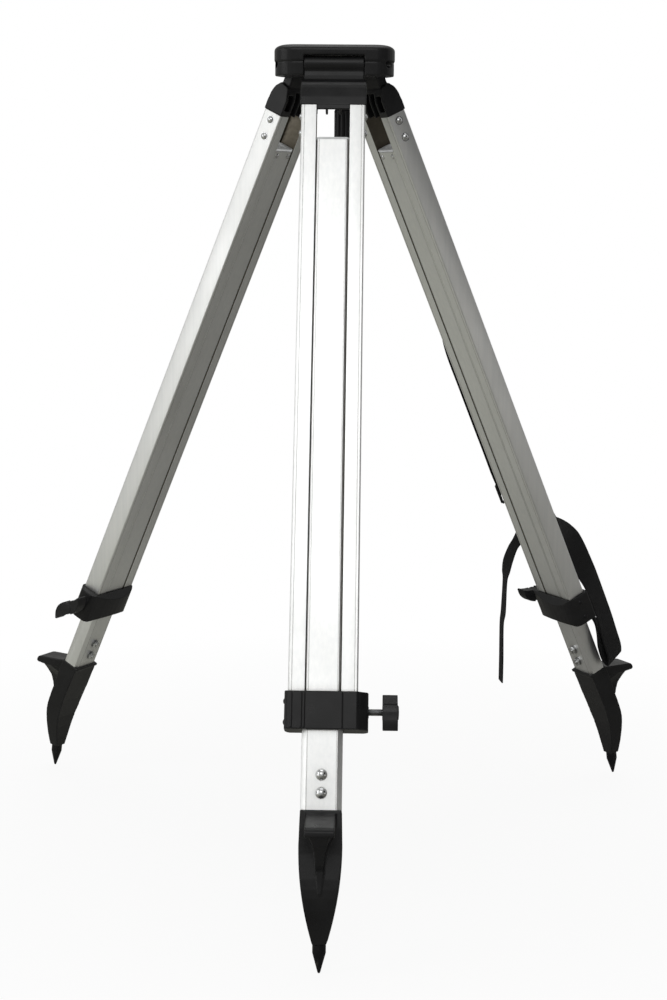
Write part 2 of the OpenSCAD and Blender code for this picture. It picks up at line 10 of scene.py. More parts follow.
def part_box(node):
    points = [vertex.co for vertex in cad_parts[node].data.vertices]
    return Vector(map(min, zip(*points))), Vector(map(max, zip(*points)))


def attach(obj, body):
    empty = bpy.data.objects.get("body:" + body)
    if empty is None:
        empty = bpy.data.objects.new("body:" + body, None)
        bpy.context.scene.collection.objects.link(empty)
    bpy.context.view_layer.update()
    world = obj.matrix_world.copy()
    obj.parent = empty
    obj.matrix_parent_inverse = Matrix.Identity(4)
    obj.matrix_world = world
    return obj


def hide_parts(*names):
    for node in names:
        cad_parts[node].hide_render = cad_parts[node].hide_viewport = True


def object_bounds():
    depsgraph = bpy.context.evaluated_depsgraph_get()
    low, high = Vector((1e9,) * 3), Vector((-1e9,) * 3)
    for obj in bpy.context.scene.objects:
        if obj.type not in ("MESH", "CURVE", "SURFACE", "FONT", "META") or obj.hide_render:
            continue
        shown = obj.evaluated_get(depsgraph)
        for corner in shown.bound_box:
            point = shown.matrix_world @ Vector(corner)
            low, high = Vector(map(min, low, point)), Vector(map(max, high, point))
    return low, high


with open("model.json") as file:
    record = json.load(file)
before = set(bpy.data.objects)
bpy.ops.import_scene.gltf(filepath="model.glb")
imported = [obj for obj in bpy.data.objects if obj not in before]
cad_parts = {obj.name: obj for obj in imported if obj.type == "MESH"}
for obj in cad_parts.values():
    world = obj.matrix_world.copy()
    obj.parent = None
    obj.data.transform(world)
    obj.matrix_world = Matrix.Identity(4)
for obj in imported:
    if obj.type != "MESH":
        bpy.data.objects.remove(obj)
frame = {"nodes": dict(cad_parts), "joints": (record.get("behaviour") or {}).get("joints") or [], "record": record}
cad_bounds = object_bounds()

MM = 0.001
LEGS = ("front", "right", "left")
JOINTS = {j["name"]: j for j in frame["joints"]}
TO_METRES = Matrix.Scale(MM, 4)


# ---------- places, worked out from the frame ----------

class Leg:
    """u runs down the leg from its hinge, t runs across it and n points out of its outer face."""

    def __init__(self, name):
        self.name = name
        self.hinge = Vector(JOINTS["leg_fold_" + name]["pos_m"])
        self.u = Vector(JOINTS["leg_extension_" + name]["axis"]).normalized()
        self.t = Vector(JOINTS["clamp_turn_" + name]["axis"]).normalized()
        self.n = self.u.cross(self.t)
        turn = Matrix((self.n, self.t, -self.u)).transposed().to_4x4()
        self.matrix = Matrix.Translation(self.hinge) @ turn

    def span(self, part):
        """The part's extent along n, t and u, in mm."""
        inverse = self.matrix.inverted()
        node = frame["nodes"][f"{part}_{self.name}"]
        points = [inverse @ v.co / MM for v in node.data.vertices]
        n = [p.x for p in points]
        t = [p.y for p in points]
        u = [-p.z for p in points]
        return {"n": (min(n), max(n)), "t": (min(t), max(t)), "u": (min(u), max(u))}


legs = {name: Leg(name) for name in LEGS}
front = legs["front"]
RAIL = front.span("rails")
CLAMP = front.span("clamp_body")
LOWER = front.span("lower_leg")
GUIDE = front.span("end_guide")
BOLTS = front.span("foot_bolts")
KNOB = front.span("wing_knob")
SCREW = front.span("clamp_screw")
MID_N = (RAIL["n"][0] + RAIL["n"][1]) / 2
MOUNTS = {m["name"]: m for m in frame["record"]["mounts"]}
SCREW_U = (SCREW["u"][0] + SCREW["u"][1]) / 2


# ---------- mesh tools ----------

def link(name, mesh):
    obj = bpy.data.objects.new(name, mesh)
    bpy.context.scene.collection.objects.link(obj)
    return obj


def build(verts, faces, name="part"):
    mesh = bpy.data.meshes.new(name)
    mesh.from_pydata([tuple(v) for v in verts], [], faces)
    mesh.validate()
    bm = bmesh.new()
    bm.from_mesh(mesh)
    bmesh.ops.recalc_face_normals(bm, faces=bm.faces)
    bm.to_mesh(mesh)
    bm.free()
    return mesh


def shade(mesh, angle=32):
    """Smooth shading with the edges sharper than angle kept crisp."""
    bm = bmesh.new()
    bm.from_mesh(mesh)
    for face in bm.faces:
        face.smooth = True
    for edge in bm.edges:
        flat = len(edge.link_faces) == 2 and edge.calc_face_angle(0) < math.radians(angle)
        edge.smooth = flat
    bm.to_mesh(mesh)
    bm.free()
    return mesh


def joined(meshes):
    """One mesh that holds them all, as separate islands."""
    verts, faces = [], []
    for mesh in meshes:
        base = len(verts)
        verts += [v.co.copy() for v in mesh.vertices]
        faces += [[base + i for i in p.vertices] for p in mesh.polygons]
    return build(verts, faces)


def moved(mesh, matrix):
    copy = mesh.copy()
    copy.transform(matrix)
    if matrix.is_negative:
        copy.flip_normals()
    return copy


def evaluated(obj):
    graph = bpy.context.evaluated_depsgraph_get()
    mesh = bpy.data.meshes.new_from_object(obj.evaluated_get(graph))
    bpy.data.objects.remove(obj)
    return mesh


def moulded(meshes, voxel, passes):
    """The union of closed meshes in mm, with the soft edges of a casting or a moulding."""
    obj = link("moulding", joined(meshes))
    remesh = obj.modifiers.new("remesh", "REMESH")
    remesh.mode = "VOXEL"
    remesh.voxel_size = voxel
    relax = obj.modifiers.new("relax", "SMOOTH")
    relax.factor = 0.5
    relax.iterations = passes
    mesh = evaluated(obj)
    for polygon in mesh.polygons:
        polygon.use_smooth = True
    return mesh


def fillet(points, radii, steps=4):
    """The closed outline with each corner rounded to its radius."""
    if not isinstance(radii, (list, tuple)):
        radii = [radii] * len(points)
    out = []
    for k, corner in enumerate(points):
        p = Vector(corner)
        back = Vector(points[k - 1]) - p
        on = Vector(points[(k + 1) % len(points)]) - p
        half = back.angle(on) / 2
        if radii[k] <= 0 or half > 1.55:
            out.append(tuple(p))
            continue
        reach = min(radii[k] / math.tan(half), back.length * 0.49, on.length * 0.49)
        radius = reach * math.tan(half)
        a = p + back.normalized() * reach
        b = p + on.normalized() * reach
        centre = p + (back.normalized() + on.normalized()).normalized() * radius / math.sin(half)
        start = a - centre
        sweep = start.angle_signed(b - centre)
        for s in range(steps + 1):
            angle = -sweep * s / steps
            turned = Vector((start.x * math.cos(angle) - start.y * math.sin(angle),
                             start.x * math.sin(angle) + start.y * math.cos(angle)))
            out.append(tuple(centre + turned))
    return out


def prism(outline, z0, z1, holes=()):
    """A straight extrusion of an outline with optional holes."""
    loops = [outline] + list(holes)
    verts, faces = [], []
    for z in (z0, z1):
        for loop in loops:
            verts += [(x, y, z) for x, y in loop]
    layer = sum(len(loop) for loop in loops)
    base = 0
    for loop in loops:
        count = len(loop)
        for k in range(count):
            a, b = base + k, base + (k + 1) % count
            faces.append((a, b, b + layer, a + layer))
        base += count
    flat = [[Vector((x, y, 0)) for x, y in loop] for loop in loops]
    for a, b, c in tessellate_polygon(flat):
        faces.append((c, b, a))
        faces.append((a + layer, b + layer, c + layer))
    return build(verts, faces)


def lathe(profile, count=48, radius_at=None):
    """Turns (r, z) points about the z axis. radius_at(r, z, angle) may change each radius."""
    verts, faces, rings = [], [], []
    for r, z in profile:
        if r <= 0:
            rings.append([len(verts)])
            verts.append((0, 0, z))
            continue
        rings.append(list(range(len(verts), len(verts) + count)))
        for k in range(count):
            angle = 2 * math.pi * k / count
            radius = radius_at(r, z, angle) if radius_at else r
            verts.append((radius * math.cos(angle), radius * math.sin(angle), z))
    for low, high in zip(rings, rings[1:]):
        for k in range(count):
            j = (k + 1) % count
            if len(low) == 1:
                faces.append((low[0], high[j], high[k]))
            elif len(high) == 1:
                faces.append((low[k], low[j], high[0]))
            else:
                faces.append((low[k], low[j], high[j], high[k]))
    return build(verts, faces)


def dome(radius, height, skirt=0.4, steps=8):
    """A rivet head that stands on z = 0."""
    ball = (radius ** 2 + (height - skirt) ** 2) / (2 * (height - skirt))
    top = math.asin(radius / ball)
    profile = [(0, -0.3), (radius - 0.15, -0.3), (radius, 0.1), (radius, skirt)]
    profile += [(ball * math.sin(top * (1 - s / steps)),
                 height - ball + ball * math.cos(top * (1 - s / steps)))
                for s in range(1, steps)]
    return lathe(profile + [(0, height)], 40)


def thread(major, depth, pitch, z0, z1, count=36, rings_per_turn=8):
    """A threaded rod. Its ridge winds once round the rod in each pitch."""
    rings = max(2, int((z1 - z0) / pitch * rings_per_turn))
    verts, faces = [], []
    for ring in range(rings + 1):
        z = z0 + (z1 - z0) * ring / rings
        fade = min(1, (z - z0) / pitch, (z1 - z) / pitch)
        for k in range(count):
            angle = 2 * math.pi * k / count
            phase = (z / pitch - k / count) % 1
            valley = 1 - abs(2 * phase - 1)
            cut = depth * (valley * fade + (1 - fade))
            verts.append(((major - cut) * math.cos(angle), (major - cut) * math.sin(angle), z))
    for ring in range(rings):
        for k in range(count):
            a = ring * count + k
            b = ring * count + (k + 1) % count
            faces.append((a, b, b + count, a + count))
    faces.append(tuple(range(count - 1, -1, -1)))
    faces.append(tuple(range(rings * count, rings * count + count)))
    return build(verts, faces)


def hex_nut(across, height, bore):
    """A chamfered hexagon nut that stands on z = 0."""
    corner = across / math.sqrt(3)
    chamfer = corner - across / 2

    def flat_radius(r, z, angle):
        side = (angle % (math.pi / 3)) - math.pi / 6
        return min(r, across / 2 / math.cos(side)) if r > bore + 0.2 else r

    profile = [(bore, 0), (corner - chamfer, 0), (corner, chamfer * 0.6),
               (corner, height - chamfer * 0.6), (corner - chamfer, height), (bore, height)]
    return lathe(profile + [profile[0]], 72, flat_radius)


def tube_along(points, radius, count=10):
    """A round bar along a line of points."""
    verts, faces = [], []
    last = len(points) - 1
    side = None
    for k, p in enumerate(points):
        p = Vector(p)
        course = Vector(points[min(k + 1, last)]) - Vector(points[max(k - 1, 0)])
        course.normalize()
        if side is None:
            side = course.orthogonal().normalized()
        side = (side - course * side.dot(course)).normalized()
        up = course.cross(side)
        for j in range(count):
            a = 2 * math.pi * j / count
            verts.append(p + (side * math.cos(a) + up * math.sin(a)) * radius)
    for k in range(last):
        for j in range(count):
            a = k * count + j
            b = k * count + (j + 1) % count
            faces.append((a, b, b + count, a + count))
    faces.append(tuple(range(count - 1, -1, -1)))
    faces.append(tuple(range(last * count, last * count + count)))
    return build(verts, faces)


# ---------- materials ----------

class Shader:
    """Short forms for the nodes that the materials share."""

    def __init__(self, name):
        self.material = bpy.data.materials.new(name)
        self.material.use_nodes = True
        self.tree = self.material.node_tree
        self.tree.nodes.clear()
        self.out = self.tree.nodes.new("ShaderNodeOutputMaterial")
        self.bsdf = self.tree.nodes.new("ShaderNodeBsdfPrincipled")
        self.tree.links.new(self.bsdf.outputs[0], self.out.inputs[0])
        self.place = self.tree.nodes.new("ShaderNodeTexCoord")

    def feed(self, socket, value):
        if isinstance(value, bpy.types.NodeSocket):
            self.tree.links.new(value, socket)
        elif isinstance(value, (tuple, list)) and len(value) == 3 and socket.type == "RGBA":
            socket.default_value = (*value, 1)
        else:
            socket.default_value = value

    def set(self, **values):
        for name, value in values.items():
            self.feed(self.bsdf.inputs[name.replace("_", " ")], value)

    def mapping(self, scale=(1, 1, 1), rotation=(0, 0, 0), source="Object"):
        node = self.tree.nodes.new("ShaderNodeMapping")
        self.feed(node.inputs["Vector"], self.place.outputs[source])
        node.inputs["Rotation"].default_value = rotation
        node.inputs["Scale"].default_value = scale
        return node.outputs[0]

    def noise(self, place, scale, detail=3, rough=0.55):
        node = self.tree.nodes.new("ShaderNodeTexNoise")
        self.feed(node.inputs["Vector"], place)
        node.inputs["Scale"].default_value = scale
        node.inputs["Detail"].default_value = detail
        node.inputs["Roughness"].default_value = rough
        return node.outputs["Fac"]

    def wave(self, place, scale, axis="X", distortion=0.0):
        node = self.tree.nodes.new("ShaderNodeTexWave")
        node.bands_direction = axis
        self.feed(node.inputs["Vector"], place)
        node.inputs["Scale"].default_value = scale
        node.inputs["Distortion"].default_value = distortion
        return node.outputs["Fac"]

    def range(self, value, low, high, to_low, to_high):
        node = self.tree.nodes.new("ShaderNodeMapRange")
        for socket, number in zip(node.inputs[1:5], (low, high, to_low, to_high)):
            socket.default_value = number
        self.feed(node.inputs[0], value)
        return node.outputs[0]

    def math(self, operation, a, b=0.5):
        node = self.tree.nodes.new("ShaderNodeMath")
        node.operation = operation
        self.feed(node.inputs[0], a)
        self.feed(node.inputs[1], b)
        return node.outputs[0]

    def mix(self, factor, a, b):
        node = self.tree.nodes.new("ShaderNodeMix")
        node.data_type = "RGBA"
        self.feed(node.inputs[0], factor)
        self.feed(node.inputs[6], a)
        self.feed(node.inputs[7], b)
        return node.outputs[2]

    def bump(self, height, strength, distance, normal=None):
        node = self.tree.nodes.new("ShaderNodeBump")
        node.inputs["Strength"].default_value = strength
        node.inputs["Distance"].default_value = distance
        self.feed(node.inputs["Height"], height)
        if normal is not None:
            self.feed(node.inputs["Normal"], normal)
        return node.outputs[0]

    def edges(self, low=0.52, high=0.60):
        """White on convex edges: rubbed paint, and partly a painted highlight along the edges."""
        node = self.tree.nodes.new("ShaderNodeNewGeometry")
        return self.range(node.outputs["Pointiness"], low, high, 0, 1)

    def grime(self, colour, reach, dark):
        """The colour with painted shade: darkened in crevices closer together than the reach in metres."""
        node = self.tree.nodes.new("ShaderNodeAmbientOcclusion")
        node.samples = 6
        node.inputs["Distance"].default_value = reach
        return self.mix(self.range(node.outputs["AO"], 0.25, 0.9, 0, 1), dark, colour)


def powder_coat():
    """Semi-gloss black paint on a die casting: orange peel, rubbed edges that double as a painted edge highlight,
    a little dust.
    """
    s = Shader("black_casting")
    place = s.mapping()
    mottle = s.noise(place, 38, 4)
    # Lighter edges: rubbed paint, and partly a painted highlight along the edges.
    wear_and_edge_highlight = s.math("MULTIPLY", s.edges(), s.range(s.noise(place, 160, 5), 0.45, 0.7, 0, 0.6))
    base = s.mix(mottle, (0.0045, 0.0045, 0.005), (0.010, 0.010, 0.0105))
    s.set(Base_Color=s.mix(wear_and_edge_highlight, base, (0.05, 0.05, 0.052)))
    s.set(Roughness=s.range(mottle, 0.3, 0.7, 0.26, 0.40))
    peel = s.bump(s.noise(place, 900, 2), 0.18, 0.0004)
    s.set(Normal=s.bump(s.noise(place, 60, 3), 0.08, 0.0012, peel))
    s.set(Specular_IOR_Level=0.28)
    return s.material


def anodised(name, leg):
    """Satin extrusion: fine die lines along the leg and a slow change in tone."""
    s = Shader(name)
    turn = leg.matrix.to_3x3().inverted().to_euler()
    streaks = s.mapping(scale=(1, 1, 0.006), rotation=turn)
    place = s.mapping(rotation=turn)
    fine = s.noise(streaks, 2600, 3, 0.7)
    broad = s.noise(streaks, 260, 2)
    cloud = s.noise(place, 9, 3)
    tone = s.mix(s.range(broad, 0.35, 0.65, 0, 1), (0.85, 0.86, 0.86), (0.90, 0.905, 0.90))
    tone = s.mix(s.range(cloud, 0.3, 0.8, 0, 0.35), tone, (0.82, 0.825, 0.815))
    scuffs = s.mapping(scale=(1, 1, 0.12), rotation=turn)
    marks = s.range(s.noise(scuffs, 420, 4), 0.72, 0.80, 0, 0.25)
    # Painted shade: the ambient-occlusion mix darkens the metal to brown-grey in crevices and inside the rails.
    s.set(Base_Color=s.grime(s.mix(marks, tone, (0.58, 0.585, 0.58)), 0.012, (0.17, 0.16, 0.145)))
    s.set(Metallic=1.0)
    s.set(Roughness=s.range(s.math("ADD", fine, cloud), 0.6, 1.4, 0.30, 0.44))
    s.set(Normal=s.bump(fine, 0.10, 0.00025))
    s.set(Anisotropic=0.25)
    return s.material


def channel_shade_metal():
    """Mill-finish inside of the rails: dull, and painted dark brown for the shade that falls in the channel."""
    s = Shader("channel_aluminium")
    place = s.mapping()
    shade_mottle = s.noise(place, 60, 3)
    s.set(Base_Color=s.mix(shade_mottle, (0.12, 0.105, 0.08), (0.21, 0.19, 0.155)))
    s.set(Metallic=1.0)
    s.set(Roughness=s.range(s.noise(place, 300, 3), 0.3, 0.7, 0.45, 0.60))
    s.set(Normal=s.bump(shade_mottle, 0.10, 0.0003))
    return s.material


def zinc(name="zinc", base=(0.78, 0.79, 0.80), rough=0.12):
    """Bright plated fastener with fine scratches and water marks."""
    s = Shader(name)
    place = s.mapping()
    scratches = s.noise(s.mapping(scale=(1, 6, 1), rotation=(0.4, 0.3, 0.8)), 900, 4, 0.8)
    stain = s.noise(place, 240, 4)
    tone = s.mix(s.range(stain, 0.45, 0.75, 0, 0.6), base, tuple(0.62 * c for c in base))
    # Painted shade: the ambient-occlusion mix darkens the zinc in crevices, as around the nuts.
    s.set(Base_Color=s.grime(tone, 0.006, (0.07, 0.07, 0.07)))
    s.set(Metallic=1.0)
    s.set(Roughness=s.range(scratches, 0.3, 0.8, rough, rough + 0.18))
    s.set(Normal=s.bump(scratches, 0.12, 0.0002))
    return s.material


def dark_steel():
    """Blackened steel, scuffed bright where the ground has rubbed it."""
    s = Shader("dark_steel")
    place = s.mapping()
    rub = s.range(s.noise(s.mapping(scale=(1, 1, 0.3)), 330, 5), 0.52, 0.72, 0, 0.7)
    rub = s.math("MULTIPLY", rub, s.range(s.noise(place, 60, 2), 0.4, 0.7, 0, 1))
    s.set(Base_Color=s.mix(rub, (0.022, 0.022, 0.024), (0.16, 0.155, 0.15)))
    s.set(Metallic=0.85)
    s.set(Roughness=s.range(s.noise(place, 200, 4), 0.3, 0.7, 0.3, 0.5))
    s.set(Normal=s.bump(s.noise(place, 700, 3), 0.15, 0.0003))
    return s.material


def moulded_plastic(name, base, rough=0.42):
    """Moulded plastic with a spark-eroded texture and paler edges, rubbed and partly a painted highlight."""
    s = Shader(name)
    place = s.mapping()
    grain = s.noise(place, 1500, 2, 0.6)
    cloud = s.noise(place, 45, 3)
    lighter = tuple(min(1, 1.6 * c + 0.004) for c in base)
    tone = s.mix(s.range(cloud, 0.3, 0.7, 0, 0.5), base, lighter)
    # Paler edges: rubbed plastic, and partly a painted highlight along the edges.
    worn_and_highlit = tuple(2 * c + 0.03 for c in base)
    s.set(Base_Color=s.mix(s.math("MULTIPLY", s.edges(), 0.35), tone, worn_and_highlit))
    s.set(Roughness=s.range(cloud, 0.3, 0.7, rough - 0.06, rough + 0.08))
    s.set(Specular_IOR_Level=0.3)
    s.set(Normal=s.bump(grain, 0.22, 0.0003))
    return s.material


def brass():
    s = Shader("brass")
    place = s.mapping()
    turned = s.wave(place, 900, "DIAGONAL", 1.5)
    s.set(Base_Color=s.mix(s.noise(place, 160, 3), (0.66, 0.46, 0.17), (0.80, 0.60, 0.27)))
    s.set(Metallic=1.0)
    s.set(Roughness=0.3)
    s.set(Normal=s.bump(turned, 0.08, 0.0002))
    return s.material


def webbing():
    """Woven tape. Its UVs run in mm: x across the tape and y along it."""
    s = Shader("black_webbing")
    pitch_x, pitch_y = 1.15, 1.6
    tape = s.mapping(source="UV")
    warp = s.wave(tape, 2 * math.pi / pitch_x / 20 * 3.18, "X")
    lean = s.mapping(source="UV", rotation=(0, 0, math.radians(34)))
    weft = s.wave(lean, 2 * math.pi / pitch_y / 20 * 3.18, "Y")
    weave = s.math("MULTIPLY", warp, s.range(weft, 0, 1, 0.45, 1))
    fuzz = s.noise(s.mapping(), 2200, 2)
    tone = s.mix(weave, (0.001, 0.001, 0.0012), (0.007, 0.007, 0.0075))
    s.set(Base_Color=s.mix(s.range(fuzz, 0.5, 0.8, 0, 0.4), tone, (0.013, 0.013, 0.0135)))
    s.set(Specular_IOR_Level=0.15)
    s.set(Roughness=0.72)
    s.set(Sheen_Weight=0.03)
    s.set(Sheen_Roughness=0.5)
    s.set(Normal=s.bump(weave, 0.6, 0.0005, s.bump(fuzz, 0.15, 0.0002)))
    return s.material


def thread_yarn():
    s = Shader("stitching")
    twist = s.wave(s.mapping(rotation=(0.5, 0.4, 0.7)), 600, "DIAGONAL")
    s.set(Base_Color=s.mix(twist, (0.02, 0.02, 0.021), (0.06, 0.06, 0.062)))
    s.set(Roughness=0.6)
    s.set(Normal=s.bump(twist, 0.4, 0.0002))
    return s.material


MATERIALS = {
    "black_casting": powder_coat(),
    "zinc": zinc(),
    "bright_steel": zinc("bright_steel", (0.52, 0.53, 0.54), 0.24),
    "steel_plate": zinc("steel_plate", (0.40, 0.41, 0.42), 0.34),
    "dark_steel": dark_steel(),
    "brass": brass(),
    "black_plastic": moulded_plastic("black_plastic", (0.006, 0.006, 0.0065)),
    "grey_plastic": moulded_plastic("grey_plastic", (0.50, 0.51, 0.51), 0.5),
    "black_webbing": webbing(),
    "stitching": thread_yarn(),
    # Painted shade for the inside of the rails' channel.
    "channel_aluminium": channel_shade_metal(),
}
for leg in legs.values():
    MATERIALS["satin_aluminium_" + leg.name] = anodised("satin_aluminium_" + leg.name, leg)


def piece(name, mesh, slot, body, replaces=(), material=None, crisp=32):
    """Puts a finished mesh in the scene, on its body, with its material."""
    if crisp:
        shade(mesh, crisp)
    obj = link(name, mesh)
    obj.data.materials.clear()
    obj.data.materials.append(MATERIALS[material or slot])
    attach(obj, body)
    if replaces:
        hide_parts(*replaces)
    return obj


def on_each_leg(name, mesh, slot, body, part=None, material=None, crisp=32):
    """Puts a copy of a mesh, made in leg axes in mm, on every leg."""
    for leg in legs.values():
        nodes = [f"{part}_{leg.name}"] if part else ()
        piece(f"{name}_{leg.name}", moved(mesh, leg.matrix @ TO_METRES), slot,
              f"{body}_{leg.name}", nodes, material, crisp)


def node_mesh(node, inverse):
    """A copy of a CAD node's mesh, welded, in mm and in a local frame."""
    bm = bmesh.new()
    bm.from_mesh(frame["nodes"][node].data)
    bmesh.ops.transform(bm, matrix=Matrix.Scale(1 / MM, 4) @ inverse, verts=bm.verts)
    bmesh.ops.remove_doubles(bm, verts=bm.verts, dist=0.002)
    mesh = bpy.data.meshes.new(node)
    bm.to_mesh(mesh)
    bm.free()
    return mesh


def box(n, t, u, radius=0.0):
    """A block in leg axes, given as ranges of n, t and u."""
    outline = [(n[0], t[0]), (n[1], t[0]), (n[1], t[1]), (n[0], t[1])]
    return prism(fillet(outline, radius), -u[1], -u[0])


def along_t(mesh):
    """Turns a mesh made about z so that its z axis runs along t."""
    return moved(mesh, Matrix.Rotation(-math.pi / 2, 4, "X"))


# ---------- head ----------

def make_head():
    mesh = moulded([node_mesh("head_casting", Matrix.Identity(4))], 0.9, 4)
    mesh.transform(TO_METRES)
    piece("head_casting_cast", mesh, "black_casting", "head", ["head_casting"], crisp=None)


# ---------- leg castings ----------

# Voxel size in mm, smoothing passes and body of each casting
CAST_PARTS = {
    "hinge_casting": (0.8, 4, "leg"),
    "clamp_body": (0.55, 3, "leg"),
    "foot": (0.8, 4, "lower_leg"),
}


def make_castings():
    for part, (voxel, passes, body) in CAST_PARTS.items():
        mesh = moulded([node_mesh(part + "_front", front.matrix.inverted())], voxel, passes)
        on_each_leg(part + "_cast", mesh, "black_casting", body, part, crisp=None)


# ---------- extrusions ----------

# Section of a rail, in mm: width, wall, depth of the channel and its lips, groove from the edge
RAIL_W = 18.8
WALL = 1.6
CHANNEL = 3.2
LIP = 1.4
GROOVE_T = 4.4


def rail_profile():
    """Section of the rail on the +t side: outline and chamber, as (n, t)."""
    b, f = RAIL["n"]
    outside = RAIL["t"][1]
    inside = outside - RAIL_W
    seat = inside + CHANNEL
    g = outside - GROOVE_T
    points = [
        (b, inside, 0.45), (b + LIP, inside, 0.35), (b + LIP, seat, 0.2), (f - LIP, seat, 0.2),
        (f - LIP, inside, 0.35), (f, inside, 0.45), (f, g, 0.12), (f - 0.4, g + 0.15, 0),
        (f - 0.4, g + 0.65, 0), (f, g + 0.8, 0.12), (f, outside, 3), (b, outside, 3),
        (b, g + 0.8, 0.12), (b + 0.4, g + 0.65, 0), (b + 0.4, g + 0.15, 0), (b, g, 0.12)]
    outline = fillet([p[:2] for p in points], [p[2] for p in points], 5)
    chamber = fillet([(b + WALL, seat + WALL), (f - WALL, seat + WALL),
                      (f - WALL, outside - WALL), (b + WALL, outside - WALL)], 1.2)
    return outline, chamber


def make_rails():
    outline, chamber = rail_profile()
    low, high = -RAIL["u"][1], -RAIL["u"][0]
    right_rail = prism(outline, low, high, [chamber])
    left_rail = moved(right_rail, Matrix.Scale(-1, 4, (0, 1, 0)))
    pair = joined([right_rail, left_rail])
    seat = RAIL["t"][1] - RAIL_W + CHANNEL
    back, face = RAIL["n"]
    channel = [p.index for p in pair.polygons
               if abs(p.center.y) < seat + 0.05 and back + 0.3 < p.center.x < face - 0.3]
    for leg in legs.values():
        obj = piece("rails_extruded_" + leg.name, moved(pair, leg.matrix @ TO_METRES),
                    "satin_aluminium", "leg_" + leg.name, ["rails_" + leg.name],
                    "satin_aluminium_" + leg.name)
        # The channel's inside faces take the dark painted-shade material.
        obj.data.materials.append(MATERIALS["channel_aluminium"])
        for index in channel:
            obj.data.polygons[index].material_index = 1


# Section of the lower leg, in mm
BEVEL_T = 5.4
BEVEL_N = 3.5
LOWER_WALL = 2


def lower_outline(inset, groove=0.0):
    """Bevelled section of the lower leg, pulled in by inset, as (n, t)."""
    hn = (LOWER["n"][1] - LOWER["n"][0]) / 2 - inset
    ht = (LOWER["t"][1] - LOWER["t"][0]) / 2 - inset
    ft = ht + inset - BEVEL_T - inset * 0.55
    en = hn + inset - BEVEL_N - inset * 0.75
    quarter = [(hn, 0, 0), (hn, ft, 0.7), (en, ht, 0.8)]
    if groove:
        quarter = [(hn, 0, 0), (hn, ft - 1.4, 0), (hn - groove, ft - 1.25, 0),
                   (hn - groove, ft - 0.75, 0), (hn, ft - 0.6, 0), (hn, ft, 0.5), (en, ht, 0.8)]
    ring = quarter + [(-n, t, r) for n, t, r in reversed(quarter)]
    ring += [(-n, -t, r) for n, t, r in quarter] + [(n, -t, r) for n, t, r in reversed(quarter)]
    clean = [p for k, p in enumerate(ring) if p[:2] != ring[k - 1][:2]]
    return [(n + MID_N, t) for n, t in fillet([p[:2] for p in clean], [p[2] for p in clean], 3)]


def make_lower_legs():
    bore = lower_outline(LOWER_WALL)
    tube = prism(lower_outline(0, 0.35), -LOWER["u"][1], -LOWER["u"][0], [bore])
    for leg in legs.values():
        piece("lower_leg_extruded_" + leg.name, moved(tube, leg.matrix @ TO_METRES),
              "satin_aluminium", "lower_leg_" + leg.name, ["lower_leg_" + leg.name],
              "satin_aluminium_" + leg.name)


def make_end_guides():
    u0 = GUIDE["u"][0]
    cap_t = 3.3
    cap = prism(lower_outline(0), -u0 - cap_t, -u0)
    ribs = [box((MID_N - 6, MID_N + 6), (t - 1, t + 1), (u0 - 0.9, u0 + 0.5)) for t in (-9, 0, 9)]
    plug = prism(lower_outline(LOWER_WALL + 0.15), -GUIDE["u"][1], -u0 - cap_t + 0.2,
                 [lower_outline(7)])
    mesh = moulded([cap, plug] + ribs, 0.6, 2)
    on_each_leg("end_guide_moulded", mesh, "grey_plastic", "lower_leg", "end_guide", crisp=None)


# ---------- fasteners ----------

# Rivets, in mm: radii and heights of the heads, and how far they sit from the casting's end
RIVET_R = 4.5
RIVET_H = 3
COLLAR_R = 5.4
CLAMP_RIVET_R = 3.6
CLAMP_RIVET_H = 2
RAIL_RIVETS = (9.8, 32.3)
CLAMP_RIVETS = (9.5, 33)
GUIDE_RIVET_R = 3.3
GUIDE_RIVET_H = 1.6
GUIDE_RIVET_T = 12.5


def make_rivets():
    collar = lathe([(0, -0.1), (COLLAR_R, -0.1), (COLLAR_R, 0.3), (0, 0.3)], 40)
    meshes, small = [], []
    for side in (-1, 1):
        face = Matrix.Rotation(-side * math.pi / 2, 4, "X")
        for drop in RAIL_RIVETS:
            place = Matrix.Translation((MID_N, side * RAIL["t"][1], -RAIL["u"][0] - drop))
            meshes.append(moved(dome(RIVET_R, RIVET_H), place @ face))
            meshes.append(moved(collar, place @ face))
    outward = Matrix.Rotation(math.pi / 2, 4, "X")
    for drop in CLAMP_RIVETS:
        place = Matrix.Translation((MID_N, CLAMP["t"][0], -CLAMP["u"][0] - drop))
        small.append(moved(dome(CLAMP_RIVET_R, CLAMP_RIVET_H, 0.3), place @ outward))
    on_each_leg("rivets_domed", joined(meshes), "zinc", "leg", "rivets")
    on_each_leg("clamp_rivets_domed", joined(small), "zinc", "leg", material="dark_steel")


def make_guide_rivets():
    span = front.span("guide_rivets")
    u = (span["u"][0] + span["u"][1]) / 2
    meshes = []
    for t in (-GUIDE_RIVET_T, GUIDE_RIVET_T):
        place = Matrix.Translation((LOWER["n"][0], t, -u)) @ Matrix.Rotation(-math.pi / 2, 4, "Y")
        meshes.append(moved(dome(GUIDE_RIVET_R, GUIDE_RIVET_H, 0.25), place))
    on_each_leg("guide_rivets_domed", joined(meshes), "zinc", "lower_leg", "guide_rivets")


# Foot bolts, in mm
BOLT_R = 3
BOLT_HEAD_R = 6.25
BOLT_HEAD_H = 4.5
BOLT_STEP = 20
BOLT_REACH = 5.95
WASHER_R = 6.1
WASHER_H = 0.9
NUT_ACROSS = 10
NUT_H = 4.2


